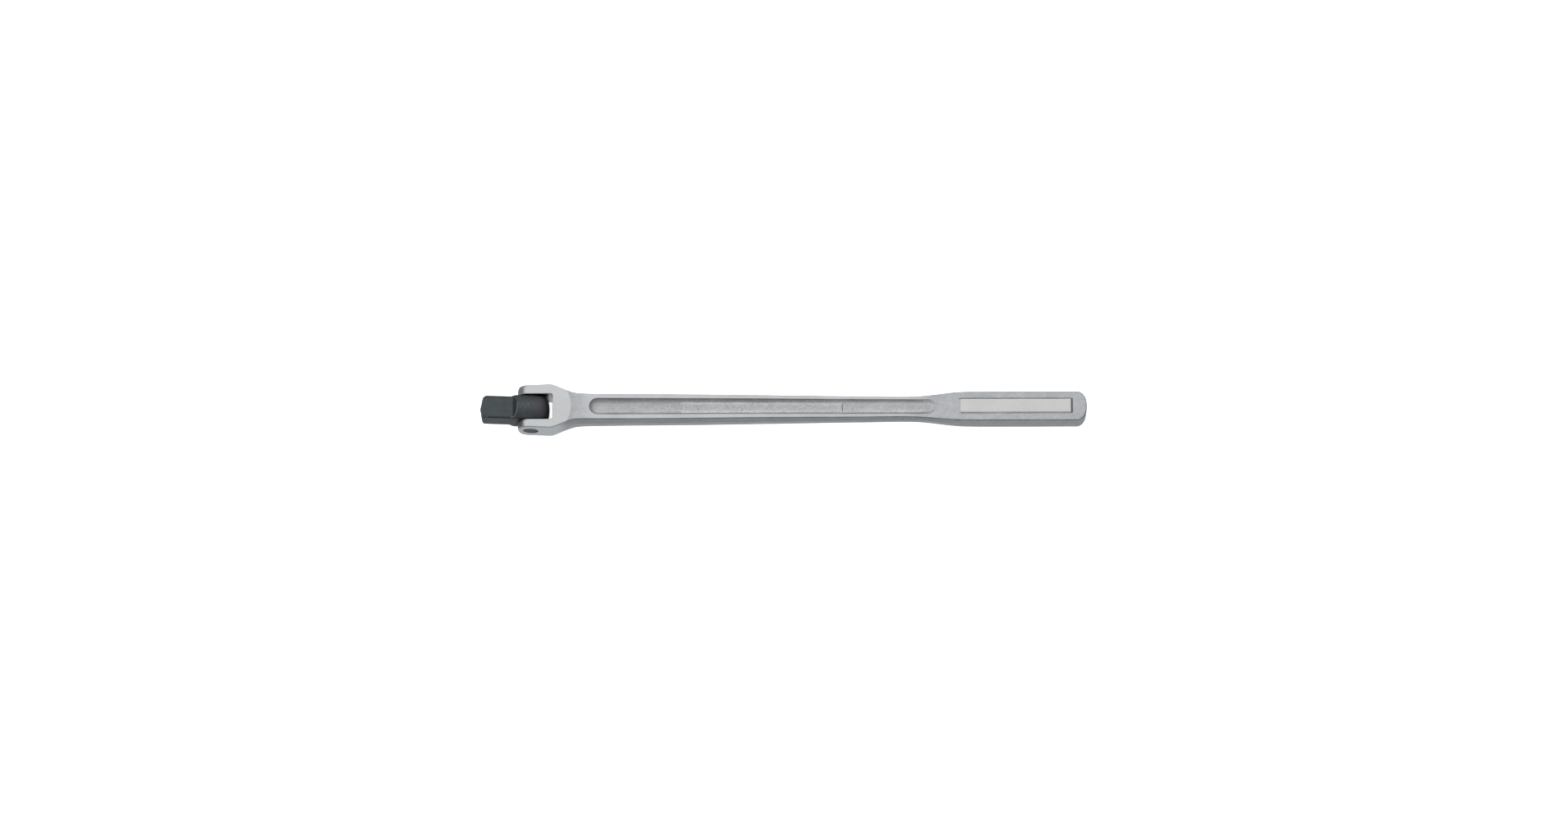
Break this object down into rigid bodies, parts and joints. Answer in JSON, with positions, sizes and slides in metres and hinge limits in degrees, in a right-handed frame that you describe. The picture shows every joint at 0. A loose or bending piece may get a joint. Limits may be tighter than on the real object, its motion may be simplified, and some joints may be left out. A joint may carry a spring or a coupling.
{
  "type": "breaker bar",
  "caption": "Flex-head breaker bar: a black square drive head pivots on a pin between the ears of a fluted forged steel bar with a flat grip.",
  "frame": {"origin": "bottom centre of the bounding box, with the drive head at its stored angle, 6.5 degrees above the line of the bar", "axes": "+X along the bar from the drive square to the grip, +Y along the hinge pin, +Z out of the fluted upper face"},
  "size_m": [0.2496, 0.0184, 0.0161],
  "materials": {
    "forged_steel": "satin plated forging, ground yoke faces",
    "black_oxide_steel": "black oxide, lightly worn at the edges",
    "spring_steel": "plain spring steel",
    "polished_steel": "polished bearing steel"
  },
  "bodies": {
    "handle": {"handle": "forged_steel", "hinge_pin": "black_oxide_steel", "friction_washer": "black_oxide_steel"},
    "head": {"drive_head": "black_oxide_steel", "detent_spring": "spring_steel"},
    "ball": {"detent_ball": "polished_steel"}
  },
  "joints": [
    {"name": "head_swing", "type": "hinge", "parent": "handle", "child": "head", "pos_m": [-0.10388, -0.00045, 0.00785], "axis": [0, 1, 0], "range_deg": [-96.5, 83.5]},
    {"name": "detent_ball_press", "type": "slide", "parent": "head", "child": "ball", "axis": [0, 1, 0], "range_m": [-0.0008, 0], "stiffness_N_per_m": 400, "springref_m": 0.002, "deforming": ["detent_spring"]}
  ]
}
